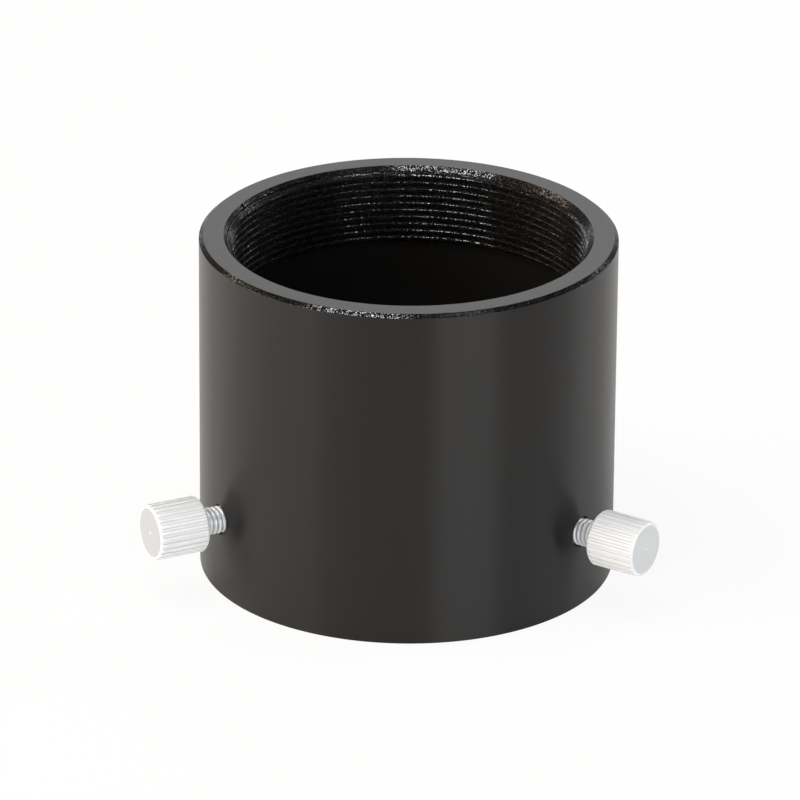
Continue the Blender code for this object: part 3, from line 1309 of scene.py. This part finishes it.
def add_camera(stage):
    """The camera, a long lens that looks down at the mouth."""
    data = bpy.data.cameras.new("camera")
    data.sensor_width = 36.0
    data.lens = stage.lens
    data.shift_x = stage.shift[0]
    data.shift_y = stage.shift[1]
    data.clip_start = 0.01
    data.clip_end = 100.0
    camera = bpy.data.objects.new("camera", data)
    bpy.context.scene.collection.objects.link(camera)
    camera.matrix_world = facing_middle(
        stage.camera_azimuth, stage.camera_elevation, stage.camera_distance, stage.camera_roll
    )
    bpy.context.scene.camera = camera


class ADAPTER_OT_add_tube(bpy.types.Operator):
    """Add the threaded tube"""

    bl_idname = "adapter.add_tube"
    bl_label = "Add Tube"

    def execute(self, context):
        scene = context.scene
        mesh = build_tube_mesh(scene.adapter_thread, scene.adapter_tube)
        finish = scene.adapter_finish
        finishes = [
            anodised_wall(finish),
            anodised_cut(finish),
            anodised_rim(finish),
            anodised_dull(finish, "bore", BORE_SHARE, BORE_GLOSS),
            # The nick's finish is painted shade: a fifth of the black with no gloss
            anodised_dull(finish, "nick", NICK_SHADE_SHARE, NICK_SHADE_GLOSS),
        ]
        add_piece("threaded_tube", mesh, finishes, TUBE_BODY, ANODISED_SLOT, TUBE_NODE)
        return {"FINISHED"}


class ADAPTER_OT_add_thumbscrews(bpy.types.Operator):
    """Add the three thumbscrews"""

    bl_idname = "adapter.add_thumbscrews"
    bl_label = "Add Thumbscrews"

    def execute(self, context):
        scene = context.scene
        finish = scene.adapter_finish
        knurl = (finish.steel, finish.knurl_roughness, finish.knurl_metallic, finish.groove_shade_tone)
        shank = (finish.steel, finish.shank_roughness, finish.shank_metallic, finish.valley_shade_tone)
        face = (finish.face, finish.face_roughness, 1.0, finish.groove_shade_tone)
        steels = [
            satin_steel("knurl", *knurl),
            satin_steel("shank", *shank),
            satin_steel("face", *face),
        ]
        for sizes, turn in zip(SCREWS, scene.adapter_screw.turns):
            mesh = build_screw_mesh(sizes, scene.adapter_screw, turn)
            name = sizes.node + "_knurled"
            add_piece(name, mesh, steels, sizes.body, STEEL_SLOT, sizes.node)
        return {"FINISHED"}


class ADAPTER_OT_add_stage(bpy.types.Operator):
    """Add the floor, the soft lamps and the camera"""

    bl_idname = "adapter.add_stage"
    bl_label = "Add Stage"

    def execute(self, context):
        stage = context.scene.adapter_stage
        add_floor(stage)
        add_world()
        for spot in LAMPS:
            add_lamp(spot)
        add_camera(stage)
        context.scene.view_settings.view_transform = "Standard"
        return {"FINISHED"}


class ADAPTER_PT_panel(bpy.types.Panel):
    """The adapter's operators and settings"""

    bl_label = "Thread Adapter"
    bl_idname = "ADAPTER_PT_panel"
    bl_space_type = "VIEW_3D"
    bl_region_type = "UI"
    bl_category = "Adapter"

    def draw(self, context):
        layout = self.layout
        for operator in OPERATORS:
            layout.operator(operator.bl_idname)
        for name, group in SETTINGS.items():
            box = layout.box()
            settings = getattr(context.scene, name)
            for prop in group.__annotations__:
                box.prop(settings, prop)


SETTINGS = {
    "adapter_thread": AdapterThread,
    "adapter_tube": AdapterTube,
    "adapter_screw": AdapterScrew,
    "adapter_finish": AdapterFinish,
    "adapter_stage": AdapterStage,
}
OPERATORS = (ADAPTER_OT_add_tube, ADAPTER_OT_add_thumbscrews, ADAPTER_OT_add_stage)


def register():
    """Register the classes and hang the settings on the scene."""
    for group in SETTINGS.values():
        bpy.utils.register_class(group)
    for name, group in SETTINGS.items():
        setattr(bpy.types.Scene, name, bpy.props.PointerProperty(type=group))
    for operator in OPERATORS:
        bpy.utils.register_class(operator)
    bpy.utils.register_class(ADAPTER_PT_panel)


def unregister():
    """Take the classes and the settings off again."""
    bpy.utils.unregister_class(ADAPTER_PT_panel)
    for operator in reversed(OPERATORS):
        bpy.utils.unregister_class(operator)
    for name, group in reversed(SETTINGS.items()):
        delattr(bpy.types.Scene, name)
        bpy.utils.unregister_class(group)


def main():
    """Build the whole scene."""
    register()
    bpy.ops.adapter.add_tube()
    bpy.ops.adapter.add_thumbscrews()
    bpy.ops.adapter.add_stage()


if __name__ == "__main__":
    main()
